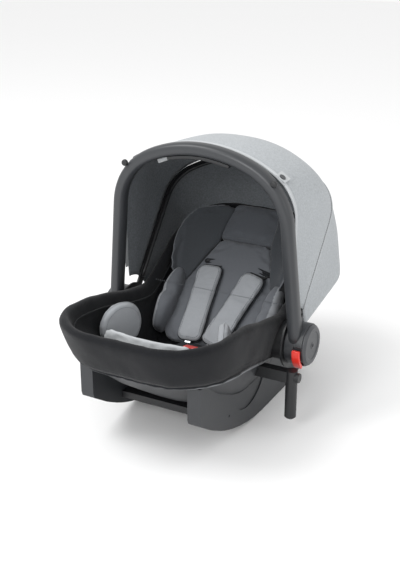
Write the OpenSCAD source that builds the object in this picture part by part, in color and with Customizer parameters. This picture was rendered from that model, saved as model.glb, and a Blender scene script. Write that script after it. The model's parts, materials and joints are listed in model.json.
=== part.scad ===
// Infant car seat: moulded shell on two rocker runners, turning carry handle,
// folding canopy, padded newborn insert, harness and stroller adapters.
// Frame: X across the seat, -Y towards the child's feet, +Z up, origin on the floor.

/* [Shell] */
// Outer width of the moulded tub
shell_w = 316; // [300:1:322]
// Tub length in front of the handle's axis
shell_front = 330; // [320:1:400]
// Tub length behind the handle's axis
shell_rear = 282; // [260:1:290]
// Wall thickness of the tub
shell_wall = 4; // [3:0.5:6]
// Depth of the tub's bottom below the handle's axis
tub_depth = 96; // [90:1:100]
// Rim height above the axis at the feet
rim_front = 90; // [75:1:100]
// Rim height above the axis beside the hubs
rim_mid = 44; // [40:1:60]
// Rim height above the axis at the head
rim_rear = 150; // [130:1:160]

/* [Rocker runners] */
// Thickness of a runner
runner_t = 26; // [20:1:32]
// Radius of a runner's curved ends
rocker_r = 430; // [400:10:700]
// Where the flat middle of a runner starts and ends, from the axis
rocker_flat = [6, 96];

/* [Handle] */
// Height of the handle's middle line above its axis
handle_rise = 355; // [345:1:390]
// Radius of the handle's top curve
handle_top_r = 246; // [220:1:300]
// Radius of the handle's corners
handle_corner_r = 120; // [90:1:130]
// Thickness of the handle across the arch
handle_t = 24; // [20:1:26]
// Depth of the handle from front to back
handle_d = 28; // [24:1:32]
// Forward lean of the handle in its carrying position, degrees
handle_tilt = 1.7; // [0:0.1:6]
// Distance of the handle's plane in front of its axis
handle_ahead = 24; // [16:1:26]
// Radius of the round hub housings
hub_r = 41; // [39:0.5:44]
// Width of a hub housing
hub_w = 35; // [30:1:40]
// Thickness of a hub's cover cap
cap_t = 7; // [5:0.5:9]
// Radius of the handle's pivot stubs
pivot_r = 10; // [8:0.5:12]
// Radial clearance of the pivot stubs
pivot_gap = 0.06; // [0.02:0.01:0.1]

/* [Canopy] */
// Radius of the canopy's top curve
canopy_top_r = 262; // [230:1:300]
// Radius of the canopy's corners
canopy_corner_r = 92; // [70:1:110]
// Thickness of the canopy's cloth
canopy_t = 2.4; // [1.6:0.2:3]
// Angle behind upright at which the middle bow stands, degrees
bow_angle = 38; // [36:1:50]
// Angle behind upright at which the canopy's hem ends, degrees
canopy_end = 81; // [76:1:84]
// Radius of the bow's wire
bow_r = 4; // [3:0.5:6]

/* [Padding] */
// Lean of the backrest above the horizontal, degrees
recline = 42; // [38:1:44]
// Rise of the seat towards the knees, degrees
seat_rise = 12; // [8:1:14]
// Thickness of the insert's pads
pad_t = 20; // [16:1:22]
// Thickness of the rim's padded cover
cover_t = 7; // [5:0.5:9]
// Height of the rim cover's outer band
cover_band = 78; // [60:1:90]

/* [Harness] */
// Width of the webbing
web_w = 36; // [30:1:40]
// Thickness of the webbing
web_t = 2; // [1.5:0.5:2.5]
// Length of a shoulder pad
shoulder_l = 162; // [140:1:170]
// Width of a shoulder pad
shoulder_w = 52; // [44:1:53]
// Thickness of a shoulder pad
shoulder_t = 19; // [16:1:22]
// Outward lean of the right shoulder strap, degrees; the left leans a third of it
strap_lean = 13; // [11:1:15]
// Distance of the left strap's foot from the centre plane; the right one's is half of it
strap_spread = 32; // [31:1:36]

/* [Stroller adapters] */
// Radius of an adapter's post
post_r = 11; // [9:0.5:13]
// Depth of a post's tip below the axis
post_depth = 128; // [125:1:140]
// Distance of a post in front of the axis
post_y = 56; // [54:1:62]

/* [Hidden] */
$fn = 48;
sides = [-1, 1];
fit = 0.3;              // gap between pieces that lie against each other
eps = 0.05;
hull_fn = 32;

half_w = shell_w / 2;
hub_in = half_w + 20;       // inner face of a hub housing
handle_hw = half_w + 17;    // middle line of the handle's legs
canopy_hw = half_w + 24;
canopy_rise = handle_rise + 7;
runner_in = half_w - 61;    // inner face of a runner
runner_front = shell_front - 80;
runner_rear = shell_rear - 77;
hub_h = tub_depth + 62;     // height of the axis above the floor
pad_w = shell_w - 110;      // width of the insert's middle pads
post_x = half_w + 45;       // an adapter's post
dip_y = 12;             // where the rim is lowest
tub_corner = 104;       // plan radius of the tub's four corners
tub_over = 30;          // height of the tub's blank above the rim, cut away
lining_t = 3;
hub_out = hub_in + hub_w;
runner_out = runner_in + runner_t;
seat_at = [0, -20, -58];    // where the seat meets the backrest
post_top = -30;
rest_y = (shell_front + cover_t - canopy_rise * sin(canopy_end)) / 2;   // puts the origin midway along

// ---- shared curves ----
function mix(a, b, t) = a + (b - a) * t;
function ease(t) = (1 - cos(180 * min(max(t, 0), 1))) / 2;
function unit(t) = min(max(t, 0), 1);

// Rim height over the tub's length: high at the feet, low at the hubs, highest at the head
function rim_z(y) = y < dip_y
    ? mix(rim_front, rim_mid, ease(pow(unit((y + shell_front) / (dip_y + shell_front)), 1.7)))
    : mix(rim_mid, rim_rear, ease(pow(unit((y - dip_y) / (shell_rear - dip_y)), 0.8)));

// Half an arch: leg, round corner and top curve, from the foot to the middle of the top
function arch_centre(hw, rise, top_r, corner_r) =
    rise - top_r + sqrt(pow(top_r - corner_r, 2) - pow(hw - corner_r, 2));
function half_arch(hw, rise, top_r, corner_r, foot, foot_hw) =
    let (cz = arch_centre(hw, rise, top_r, corner_r),
         turn = atan2(cz - (rise - top_r), hw - corner_r))
    concat(
        [for (i = [0 : 3]) [mix(foot_hw, hw, i / 4), mix(foot, cz, i / 4)]],
        [for (i = [0 : 9]) let (a = turn * i / 9)
            [hw - corner_r + corner_r * cos(a), cz + corner_r * sin(a)]],
        [for (i = [1 : 8]) let (a = mix(turn, 90, i / 8))
            [top_r * cos(a), rise - top_r + top_r * sin(a)]]);
function reversed(list) = [for (i = [len(list) - 1 : -1 : 0]) list[i]];
function flipped(list) = [for (p = list) [-p[0], p[1]]];
function whole_arch(half) = concat(half, flipped(reversed([for (i = [0 : len(half) - 2]) half[i]])));

// ---- places ----
module at_axis() { translate([0, rest_y, hub_h]) children(); }
module on_back() { at_axis() translate(seat_at) rotate([recline, 0, 0]) children(); }
module on_seat() { at_axis() translate(seat_at) rotate([-seat_rise, 0, 0]) children(); }
module on_side(side) { if (side > 0) children(); else mirror([1, 0, 0]) children(); }
module hub_plane() { at_axis() rotate([handle_tilt, 0, 0]) children(); }
module handle_plane() { hub_plane() translate([0, -handle_ahead, 0]) children(); }
// Children are drawn round the Z axis, with X upright, and land round the handle's axis
module round_axis(from) { rotate([0, 90, 0]) rotate([0, 0, 180 - from]) children(); }
module side_profile(width) {
    rotate([90, 0, 90]) linear_extrude(width, center = true) children();
}

// ---- tub ----
// Height, front, rear and side inset of each level of the tub
tub_levels = [
    [-tub_depth, 176, 236, 46],
    [-tub_depth + 56, 98, 152, 20],
    [20, 30, 80, 6],
    [rim_front, 0, 24, 0],
    [rim_rear + tub_over, 0, -6, 0]];

// The tub as a solid block, grown outwards by a distance
module tub(grow) {
    hull() for (lv = tub_levels, sx = sides, end = sides) {
        y = end < 0 ? -shell_front + lv[1] + tub_corner : shell_rear - lv[2] - tub_corner;
        x = shell_w / 2 - lv[3] - tub_corner;
        z = lv[0] == -tub_depth ? lv[0] - grow : lv[0];
        translate([sx * x, y, z])
            cylinder(r = tub_corner + grow, h = eps, $fn = hull_fn);
    }
}
// Everything below the rim line, moved up or down
module below_rim(shift) {
    ys = [for (i = [0 : 44]) mix(-shell_front - 40, shell_rear + 50, i / 44)];
    side_profile(2 * shell_w)
        polygon(concat([for (y = ys) [y, rim_z(y) + shift]],
                       [[shell_rear + 50, -300], [-shell_front - 40, -300]]));
}
module seat_shell() {
    color("#35373a") at_axis() difference() {
        intersection() { tub(0); below_rim(0); }
        tub(-shell_wall);
    }
}
// Thin visible lip of the moulding just under the rim's cover
module edge_trim() {
    color("#77797b") at_axis() difference() {
        intersection() { tub(cover_t - 1); below_rim(-cover_band - fit); }
        tub(fit);
        below_rim(-cover_band - 6);
        for (s = sides) translate([s * (hub_in - 30), 0, 0]) rotate([0, 90, 0])
            cylinder(r = hub_r + 12, h = 120, center = true);
    }
}

// ---- runners ----
function rocker_z(y) =
    let (d = max(rocker_flat[0] - y, y - rocker_flat[1], 0))
    -hub_h + rocker_r - sqrt(rocker_r * rocker_r - d * d);
module runner_outline() {
    ys = [for (i = [0 : 28]) mix(-runner_front, runner_rear, i / 28)];
    polygon(concat(
        [for (y = ys) [y, rocker_z(y)]],
        [[runner_rear + 8, -70], [runner_rear - 12, 0], [-150, 40], [-runner_front - 10, 4],
         [-runner_front - 10, rocker_z(-runner_front) + 14],
         [-runner_front - 7, rocker_z(-runner_front) + 5]]));
}
module runner(side) {
    color("#3d3f42") at_axis() on_side(side) difference() {
        translate([(runner_in + runner_out) / 2, 0, 0]) side_profile(runner_t) runner_outline();
        tub(fit);
        // clear of the rim's cover and lip
        difference() {
            tub(cover_t + fit);
            below_rim(-cover_band - 7);
        }
        // hollow underside, open downwards at the inner face
        translate([runner_in + 4 - fit, -190, -120]) cube([runner_t - 8, 330, 60]);
        // shallow sculpted recess on the outer face
        translate([runner_out - 2.5, -70, -40]) rotate([0, 90, 0])
            cylinder(r = 78, h = 10, $fn = 96);
        for (y = screw_ys) screw_bore(y, 2.6, 40);
    }
}
screw_ys = [-150, 110];
module screw_bore(y, r, len) {
    translate([runner_in - 10, y, -tub_depth - 4]) rotate([0, 90, 0]) cylinder(r = r, h = len);
}
module brace(y0, len, h) {
    color("#2e3033") at_axis() difference() {
        translate([-runner_in + fit, y0, -tub_depth - h])
            cube([2 * (runner_in - fit), len, h - fit]);
        translate([-runner_in + 8, y0 + 4, -tub_depth - h - 4])
            cube([2 * runner_in - 16, len - 8, h - 2]);
        for (s = sides) on_side(s) screw_bore(y0 + len / 2, 2.6, 22);
    }
}
module runner_screws() {
    color("silver") at_axis() for (s = sides, y = screw_ys) on_side(s)
        translate([runner_in - 8, y, -tub_depth - 4]) rotate([0, 90, 0]) {
            cylinder(r = 2.5, h = 11.4);
            translate([0, 0, 12 - eps - 1]) cylinder(r = 5, h = 3.4);
        }
}

// ---- pivots ----
module pivot_mount(side) {
    color("#2b2d30") at_axis() on_side(side) difference() {
        translate([shell_w / 2 - 40, 0, 0]) rotate([0, 90, 0]) union() {
            cylinder(r = hub_r - 3, h = hub_in - fit - shell_w / 2 + 40, $fn = 72);
            cylinder(r = pivot_r, h = hub_out - 4 - shell_w / 2 + 40);
        }
        tub(fit);
        translate([hub_out - 24, 0, 0]) rotate([0, 90, 0]) cylinder(r = 2.6, h = 40);
    }
}

// ---- rim cover and insert ----
module seat_cover() {
    color("#222427") at_axis() difference() {
        intersection() { tub(cover_t); below_rim(cover_t); }
        tub(-shell_wall - fit - lining_t);
        intersection() {
            difference() { tub(fit); tub(-shell_wall - fit); }
            below_rim(fit);
        }
        difference() { below_rim(-cover_band); tub(-shell_wall - fit); }
        difference() {
            rotate([0, 90, 0]) cylinder(r = hub_r, h = 2 * hub_in, center = true);
            tub(fit);
        }
    }
}
module insert_room() { tub(-shell_wall - lining_t - 2 * fit); }
module foam_wedge() {
    color("#d7d8d6") at_axis() intersection() {
        insert_room();
        translate(seat_at) union() {
            rotate([recline, 0, 0]) translate([-shell_w / 2, -30, -160])
                cube([shell_w, 318, 160 - pad_t / 2 - fit - 2]);
            rotate([-seat_rise, 0, 0]) translate([-shell_w / 2, -250, -120])
                cube([shell_w, 258, 120 - pad_t - fit]);
        }
    }
}
// Padded front edge of the insert, standing between the child's feet and the front wall
flap_y = -238;
flap_t = 9;
flap_z = [-24, 67];         // its foot and its top
module front_flap() {
    color("#c3c5c7") at_axis() translate([0, flap_y + flap_t, 0]) rotate([90, 0, 0])
        linear_extrude(flap_t) hull() for (s = sides) {
            translate([s * (half_w - 96), flap_z[0] + 12]) circle(r = 12);
            translate([s * (half_w - 74), flap_z[1] - 14]) circle(r = 14);
        }
}
// A cushion: block with round corners in plan
module cushion(w, l, t, r) {
    linear_extrude(t) translate([-w / 2, 0]) union() {
        translate([r, 0]) square([w - 2 * r, l]);
        translate([0, r]) square([w, l - 2 * r]);
        for (x = [r, w - r], y = [r, l - r]) translate([x, y]) circle(r);
    }
}
back_foot = 14;         // where the backrest pad starts, up the backrest
back_l = 178;
head_foot = back_foot + back_l + 1;
head_l = 142;
head_w = 108;
module seat_pad() {
    color("#5d6063") on_seat() difference() {
        translate([0, -178, -pad_t]) cushion(pad_w, 174, pad_t - fit, 30);
        translate([-web_w / 2 - 2, -88, -pad_t - 1]) cube([web_w + 4, 8, pad_t + 2]);
    }
}
module backrest_pad() {
    color("#6b6e71") on_back() translate([0, back_foot, -pad_t / 2 - 2])
        cushion(pad_w, back_l, pad_t, 18);
}
module headrest_panel() {
    color("#54575a") on_back() translate([0, head_foot, -pad_t / 2 - 2])
        cushion(head_w, head_l, pad_t, 16);
}
// Head wing: low where it meets the headrest panel, standing up at its outer edge
wing_r = 10;
wing_gap = 1;
wing_out = half_w - 22;   // reach of a wing from the centre plane
wing_high = 46;         // height of a wing's outer edge above the backrest's plane
wing_foot = 206;        // along the backrest
module head_wing(side) {
    in = head_w / 2 + wing_gap + wing_r;
    color("#2c2e32") on_back() on_side(side) hull() {
        for (v = [wing_foot, head_foot + head_l - wing_r]) translate([in, v, 0])
            sphere(r = wing_r, $fn = 24);
        for (v = [wing_foot - 6, head_foot + head_l - 44], w = [0, wing_high - wing_r])
            translate([wing_out - wing_r, v, w]) sphere(r = wing_r, $fn = 24);
    }
}
module side_pad(side) {
    color("#8d8f92") on_back() on_side(side) translate([pad_w / 2 + 13, back_foot + 44, -6])
        cushion(24, back_l - 58, 40, 10);
}
thigh_r = 36;
thigh_t = 28;
module thigh_pad(side) {
    edge = thigh_t / 2;
    color("#8d8f92") at_axis() on_side(side) translate([half_w - 56, -158, 36])
        rotate([0, 0, 45]) rotate([0, 90, 0]) rotate_extrude($fn = 64)
            polygon(concat([[0, -edge]],
                [for (a = [-90 : 15 : 90]) [thigh_r - edge + edge * cos(a), edge * sin(a)]],
                [[0, edge]]));
}

// ---- harness ----
strap_top = 208;
strap_foot = 8;
shoulder_foot = 28;
strap_z = pad_t / 2 - 2 + fit + shoulder_t / 2;
tongue_w = 12;
// The straps lie as the harness settles: each has its own foot and lean
module along_strap(side) {
    on_back() translate([side < 0 ? -strap_spread : strap_spread / 2, strap_foot, 0])
        rotate([0, 0, side < 0 ? strap_lean / 3 : -strap_lean]) children();
}
module harness_strap(side) {
    color("#1d1e20") along_strap(side) translate([-web_w / 2, 14, strap_z - web_t / 2])
        cube([web_w, strap_top - strap_foot - 14, web_t]);
}
module shoulder_pad(side) {
    color("#8f9194") along_strap(side) difference() {
        translate([0, shoulder_foot - strap_foot, pad_t / 2 - 2 + fit])
            cushion(shoulder_w, shoulder_l, shoulder_t, 16);
        translate([-web_w / 2 - fit, 0, strap_z - web_t / 2 - fit])
            cube([web_w + 2 * fit, 300, web_t + 2 * fit]);
    }
}
module tongue(side) {
    color("silver") along_strap(side) translate([-tongue_w / 2, -10, strap_z - 1.5]) difference() {
        cube([tongue_w, 26, 3]);
        translate([3, 18, -1]) cube([tongue_w - 6, 3, 5]);
    }
}
buckle = [62, 50, 19];
button_size = [26, 16, 5];
buckle_x = -strap_spread / 4;
module buckle_body() {
    color("#232528") on_seat() translate([buckle_x, 0, 0]) difference() {
        translate([0, -14 - buckle[1], fit]) cushion(buckle[0], buckle[1], buckle[2], 9);
        translate([-button_size[0] / 2 - 0.5, -50.5, fit + buckle[2] - 8])
            cube([button_size[0] + 1, button_size[1] + 1, 20]);
    }
}
module buckle_button() {
    color("#c8372c") on_seat()
        translate([buckle_x - button_size[0] / 2, -50, fit + buckle[2] - 4])
            cube([button_size[0], button_size[1], button_size[2]]);
}
module crotch_strap() {
    color("#1d1e20") on_seat() {
        translate([-web_w / 2, -86, -pad_t + 2]) cube([web_w, web_t, pad_t + 4]);
        translate([-web_w / 2, -86, 6]) cube([web_w, 86 - 14 - buckle[1] - fit, web_t]);
    }
}
module adjuster_housing() {
    color("#232528") on_seat() difference() {
        translate([0, -172, fit]) cushion(52, 36, 11, 8);
        translate([-11, -163, 4]) cube([22, 18, 20]);
    }
}
module adjuster_button() {
    color("#8c8e91") on_seat() translate([-10.5, -162.5, 8]) cube([21, 17, 5]);
}

// ---- stroller adapters ----
module adapter(side) {
    color("#1f2123") at_axis() on_side(side) difference() {
        union() {
            translate([post_x, -post_y, -post_depth + 3]) cylinder(r = post_r, h = post_depth + post_top - 3);
            translate([post_x, -post_y, -post_depth]) cylinder(r1 = post_r - 3, r2 = post_r, h = 3);
            translate([110, -post_y - 9, post_top - 24]) cube([post_x - 110, 18, 22]);
            translate([post_x, -post_y, post_top - 13]) rotate([0, 90, 0])
                cylinder(r = 9, h = post_r + 5);
        }
        tub(fit);
        translate([post_x - 4.2, -post_y + 2, -100]) cube([8.4, 20, 16.4]);
    }
}
module adapter_catch(side) {
    color("#2a2c2f") at_axis() on_side(side)
        translate([post_x - 4, -post_y + 6.2, -99.8]) side_profile_block();
}
module side_profile_block() {
    rotate([90, 0, 90]) linear_extrude(8) polygon([[0, 0], [9.5, 0], [11.5, 3], [5.4, 16], [0, 16]]);
}

// ---- handle ----
// Tube with an oval section swept along an arch; its rings are square to the path
module swept_arch(path, across, deep, n) {
    last = len(path) - 1;
    points = [for (i = [0 : last])
        let (t = path[min(i + 1, last)] - path[max(i - 1, 0)], d = norm(t), nx = t[1] / d, nz = -t[0] / d)
        for (k = [0 : n - 1]) let (a = 360 * k / n, c = cos(a), s = sin(a),
            u = across * sign(c) * pow(abs(c), 0.75), v = deep * sign(s) * pow(abs(s), 0.75))
            [path[i][0] + nx * u, v, path[i][1] + nz * u]];
    walls = [for (i = [0 : last - 1], k = [0 : n - 1])
        [i * n + k, (i + 1) * n + k, (i + 1) * n + (k + 1) % n, i * n + (k + 1) % n]];
    polyhedron(points, concat(walls, [[for (k = [0 : n - 1]) k],
        [for (k = [n - 1 : -1 : 0]) last * n + k]]), convexity = 4);
}
handle_foot = 11;
module handle_arch() {
    half = half_arch(handle_hw, handle_rise, handle_top_r, handle_corner_r, handle_foot,
                     hub_in + hub_w / 2);
    color("#424447") handle_plane() swept_arch(whole_arch(half), handle_t / 2, handle_d / 2, 20);
}
grip_half = 62;
module handle_grip() {
    low = handle_top_r - handle_t / 2 - 5;
    color("#35373a") handle_plane() translate([0, 0, handle_rise - handle_top_r])
        rotate([90, 0, 0]) linear_extrude(22, center = true) {
            a = asin(grip_half / low);
            polygon(concat([for (i = [-10 : 10]) low * [sin(a * i / 10), cos(a * i / 10)]],
                [for (i = [10 : -1 : -10]) (low + 6) * [sin(a * i / 10), cos(a * i / 10)]]));
        }
}
lever_from = -7;        // start of a release lever, degrees below the front
lever_span = 56;
lever_travel = 4;
lever_x = [hub_in + 19, hub_out - 1];
module lever_ring(r0, r1, x0, x1, a0, a1) {
    // angles run down from straight ahead of the axis
    round_axis(-90 - a0) rotate_extrude(angle = a1 - a0, $fn = 96)
        translate([r0, x0]) square([r1 - r0, x1 - x0]);
}
module hub(side) {
    color("#404245") hub_plane() on_side(side) difference() {
        translate([hub_in, 0, 0]) rotate([0, 90, 0]) cylinder(r = hub_r, h = hub_w, $fn = 96);
        translate([hub_in - 1, 0, 0]) rotate([0, 90, 0]) cylinder(r = pivot_r + pivot_gap, h = hub_w - 2);
        lever_ring(hub_r - lever_travel - 1.2, hub_r + 9, lever_x[0] - 0.4, hub_out + 1,
                   lever_from - 7, lever_from + lever_span + 7);
        translate([hub_out - 6, 0, 0]) rotate([0, 90, 0]) cylinder(r = 2.6, h = 10);
    }
}
module hub_cap(side) {
    color("#4a4c4f") hub_plane() on_side(side) translate([hub_out + eps, 0, 0]) rotate([0, 90, 0])
        difference() {
            rotate_extrude($fn = 96) polygon([[0, 0], [hub_r - 2, 0], [hub_r - 2, cap_t - 4],
                [hub_r - 6, cap_t], [hub_r - 13, cap_t], [hub_r - 15, cap_t - 1.6],
                [7, cap_t - 1.6], [5.5, cap_t - 0.4], [0, cap_t - 0.4]]);
            translate([0, 0, -1]) cylinder(r = 3.1, h = 20);
        }
}
module hub_screws() {
    color("#2c2c2e") at_axis() for (s = sides) on_side(s)
        translate([hub_out - 20, 0, 0]) rotate([0, 90, 0]) {
            cylinder(r = 2.5, h = 20 + 3);
            translate([0, 0, 23]) cylinder(r = 2.9, h = 2);
        }
}
module release_lever(side) {
    color("#e0402f") hub_plane() on_side(side)
        lever_ring(hub_r + 0.4, hub_r + 7, lever_x[0], lever_x[1], lever_from, lever_from + lever_span);
}

// ---- canopy ----
canopy_foot = 64;
function canopy_half(inset) = half_arch(canopy_hw - inset, canopy_rise - inset, canopy_top_r - inset,
                                        canopy_corner_r - inset, canopy_foot, canopy_hw - inset - 1);
// A band of the canopy's surface between two angles behind upright
module canopy_band(from, to, inset, t) {
    band = concat(whole_arch(canopy_half(inset)), reversed(whole_arch(canopy_half(inset + t))));
    at_axis() round_axis(to) rotate_extrude(angle = to - from, $fn = 90)
        polygon([for (p = band) [p[1], p[0]]]);
}
handle_back = handle_d / 2 + 1.5;
module behind_handle(gap) {
    handle_plane() translate([-300, gap - 600, -100]) cube([600, 600, 600]);
}
hem_w = 9;
hem_reach = 12;             // degrees in front of upright that the hem may reach
module canopy_front() {
    color("#b9bcbe") difference() {
        canopy_band(-hem_reach, bow_angle - 0.6, 0, canopy_t);
        behind_handle(handle_back + hem_w);
    }
}
module canopy_rear() {
    color("#b4b7b9") canopy_band(bow_angle + 0.6, canopy_end, 0, canopy_t);
}
module canopy_hem() {
    color("#cfd1d2") difference() {
        intersection() {
            canopy_band(-hem_reach, 14, 0, canopy_t + 1);
            behind_handle(handle_back + hem_w - fit);
        }
        behind_handle(handle_back);
    }
}
bow_inset = canopy_t + 2 + bow_r;
module canopy_bow() {
    half = half_arch(canopy_hw - bow_inset, canopy_rise - bow_inset, canopy_top_r - bow_inset,
                     canopy_corner_r - bow_inset, canopy_foot, canopy_hw - bow_inset);
    color("#1c1d1f") at_axis() rotate([-bow_angle, 0, 0]) swept_arch(whole_arch(half), bow_r, bow_r, 10);
}
// Flat plate that carries each end of the bow and turns round the pivot mount
module bow_plate(side) {
    color("#232427") at_axis() rotate([-bow_angle, 0, 0]) on_side(side)
        translate([hub_in - fit - 4, 0, 0]) rotate([0, 90, 0]) difference() {
            union() {
                cylinder(r = hub_r + 8, h = 3.8, $fn = 72);
                translate([-canopy_foot - 26, -9, 0]) cube([canopy_foot + 26, 18, 3.8]);
            }
            translate([0, 0, -1]) cylinder(r = hub_r - 3 + pivot_gap, h = 8, $fn = 72);
        }
}
tab_angle = 55;         // where a tab sits on the canopy's top curve, from its side
module tab_place(side) {
    handle_plane() on_side(side)
        translate([canopy_top_r * cos(tab_angle), handle_back,
                   canopy_rise - canopy_top_r + canopy_top_r * sin(tab_angle)])
        rotate([0, 90 - tab_angle, 0]) children();
}
tab_lift = 1;
module canopy_tabs() {
    color("#a9acae") for (s = sides) tab_place(s) translate([-11, 0.5, tab_lift]) cube([22, 26, 1]);
}
module canopy_snaps() {
    color("#2b2d30") for (s = sides) tab_place(s) translate([0, 9, tab_lift + 1])
        cylinder(r = 6, h = 2);
}

seat_shell();
edge_trim();
runner(-1);  // runner_left
runner(1);  // runner_right
brace(-166, 32, 14);  // brace_front
brace(94, 32, 14);  // brace_rear
runner_screws();
pivot_mount(-1);  // pivot_mount_left
pivot_mount(1);  // pivot_mount_right
seat_cover();
foam_wedge();
front_flap();
seat_pad();
backrest_pad();
headrest_panel();
head_wing(-1);  // head_wing_left
head_wing(1);  // head_wing_right
side_pad(-1);  // side_pad_left
side_pad(1);  // side_pad_right
thigh_pad(-1);  // thigh_pad_left
thigh_pad(1);  // thigh_pad_right
harness_strap(-1);  // harness_strap_left
harness_strap(1);  // harness_strap_right
shoulder_pad(-1);  // shoulder_pad_left
shoulder_pad(1);  // shoulder_pad_right
tongue(-1);  // tongue_left
tongue(1);  // tongue_right
buckle_body();
buckle_button();
crotch_strap();
adjuster_housing();
adjuster_button();
adapter(-1);  // adapter_left
adapter(1);  // adapter_right
adapter_catch(-1);  // adapter_catch_left
adapter_catch(1);  // adapter_catch_right
handle_arch();
handle_grip();
hub(-1);  // hub_left
hub(1);  // hub_right
hub_cap(-1);  // hub_cap_left
hub_cap(1);  // hub_cap_right
hub_screws();
release_lever(-1);  // release_lever_left
release_lever(1);  // release_lever_right
canopy_bow();
bow_plate(-1);  // bow_plate_left
bow_plate(1);  // bow_plate_right
canopy_front();
canopy_rear();
canopy_hem();
canopy_tabs();
canopy_snaps();
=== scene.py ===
# %% [markdown]
# Infant car seat, dressed for a render.
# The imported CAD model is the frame: every hard part already stands in its place and turns on its joint.
# This notebook builds the cloth, the padding and the fine mouldings round it, and gives each its finish.

# %% Load the frame
import json
import math

import bmesh
import bpy
import numpy as np
from mathutils import Matrix, Vector, noise
from mathutils.bvhtree import BVHTree


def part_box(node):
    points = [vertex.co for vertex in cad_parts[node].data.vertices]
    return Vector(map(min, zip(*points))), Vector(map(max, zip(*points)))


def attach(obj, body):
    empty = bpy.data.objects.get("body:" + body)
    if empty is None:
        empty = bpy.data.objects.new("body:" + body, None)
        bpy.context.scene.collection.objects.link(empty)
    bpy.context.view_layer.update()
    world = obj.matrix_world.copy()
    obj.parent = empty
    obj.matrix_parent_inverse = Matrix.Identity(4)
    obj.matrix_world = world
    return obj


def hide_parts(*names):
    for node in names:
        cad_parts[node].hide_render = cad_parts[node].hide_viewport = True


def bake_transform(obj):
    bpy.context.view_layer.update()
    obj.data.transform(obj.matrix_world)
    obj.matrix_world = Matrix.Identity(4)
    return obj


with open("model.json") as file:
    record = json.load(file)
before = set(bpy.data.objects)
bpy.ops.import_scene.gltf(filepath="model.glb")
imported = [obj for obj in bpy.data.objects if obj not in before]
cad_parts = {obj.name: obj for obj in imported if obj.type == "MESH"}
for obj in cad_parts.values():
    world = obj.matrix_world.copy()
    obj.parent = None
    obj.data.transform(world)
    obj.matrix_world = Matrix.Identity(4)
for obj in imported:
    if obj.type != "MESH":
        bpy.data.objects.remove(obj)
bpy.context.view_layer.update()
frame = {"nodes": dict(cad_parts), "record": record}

MM = 0.001
hub_lo, hub_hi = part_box("hub_right")
AXIS = Vector((0, (hub_lo.y + hub_hi.y) / 2, (hub_lo.z + hub_hi.z) / 2))
FLOOR_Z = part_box("runner_right")[0].z
print("handle axis", [round(v, 4) for v in AXIS], "floor", round(FLOOR_Z, 4))

# %% [markdown]
# The camera comes first, so that every piece can be judged from the same place.
# It looks down at the seat from its front right corner with a short telephoto lens.

# %% Camera
VIEW_AZIMUTH, VIEW_ELEVATION = math.radians(28.34), math.radians(22.13)
VIEW_DISTANCE, VIEW_LENS = 1.935, 62.45
VIEW_AIM = AXIS + Vector((-0.028, 0.018, 0.0674))
back = Vector((math.sin(VIEW_AZIMUTH) * math.cos(VIEW_ELEVATION),
               -math.cos(VIEW_AZIMUTH) * math.cos(VIEW_ELEVATION), math.sin(VIEW_ELEVATION)))
camera = bpy.data.objects.new("camera", bpy.data.cameras.new("camera"))
bpy.context.scene.collection.objects.link(camera)
camera.location = VIEW_AIM + back * VIEW_DISTANCE
camera.rotation_mode = "QUATERNION"
camera.rotation_quaternion = (-back).to_track_quat("-Z", "Y")
camera.data.lens = VIEW_LENS
camera.data.clip_start, camera.data.clip_end = 0.05, 50
bpy.context.scene.camera = camera

# %% [markdown]
# A plain pale floor and soft studio light: a bright even sky, one large key lamp high on the left,
# and a weaker one from the right that keeps the black cover readable.

# %% Floor and light
def flat_material(name, colour, roughness):
    mat = bpy.data.materials.new(name)
    mat.use_nodes = True
    shader = mat.node_tree.nodes["Principled BSDF"]
    shader.inputs["Base Color"].default_value = (*colour, 1)
    shader.inputs["Roughness"].default_value = roughness
    return mat


def lamp(name, place, aim, size, power):
    data = bpy.data.lights.new(name, "AREA")
    data.shape, data.size, data.energy = "DISK", size, power
    obj = bpy.data.objects.new(name, data)
    bpy.context.scene.collection.objects.link(obj)
    obj.location = place
    obj.rotation_mode = "QUATERNION"
    obj.rotation_quaternion = (Vector(aim) - Vector(place)).to_track_quat("-Z", "Y")


FLOOR_SIZE = 14
bpy.ops.mesh.primitive_plane_add(size=FLOOR_SIZE, location=(0, 0, FLOOR_Z - 0.0005))
floor = bpy.context.object
floor.name = "floor"
floor.data.materials.append(flat_material("floor_paper", (0.93, 0.93, 0.93), 0.9))
world = bpy.data.worlds.new("studio")
world.use_nodes = True
world.node_tree.nodes["Background"].inputs["Color"].default_value = (1, 1, 1, 1)
world.node_tree.nodes["Background"].inputs["Strength"].default_value = 0.95
bpy.context.scene.world = world
lamp("key", (-1.5, -1.2, 2.7), AXIS, 1.6, 40)
lamp("front", (-0.1, -2.7, 1.5), AXIS, 1.2, 30)
lamp("side", (2.4, -0.2, 1.2), AXIS, 1.2, 5)
bpy.context.scene.view_settings.view_transform = "Standard"

# %% [markdown]
# ## Finishes
# Each finish is one Principled shader. What several finishes share, such as a knitted surface or the
# fine grain of moulded plastic, is a node group with named inputs that puts out masks and heights only.

# %% Shared shader groups
def linear(code):
    """A screen colour such as '#8A8C8E' as linear light."""
    parts = [int(code[i:i + 2], 16) / 255 for i in (1, 3, 5)]
    return tuple(p / 12.92 if p <= 0.04045 else ((p + 0.055) / 1.055) ** 2.4 for p in parts)


def new_group(name, inputs, outputs):
    tree = bpy.data.node_groups.new(name, "ShaderNodeTree")
    for label, kind, value in inputs:
        socket = tree.interface.new_socket(label, in_out="INPUT", socket_type=kind)
        if value is not None:
            socket.default_value = value
    for label in outputs:
        tree.interface.new_socket(label, in_out="OUTPUT", socket_type="NodeSocketFloat")
    return tree, tree.nodes.new("NodeGroupInput"), tree.nodes.new("NodeGroupOutput")


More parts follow.
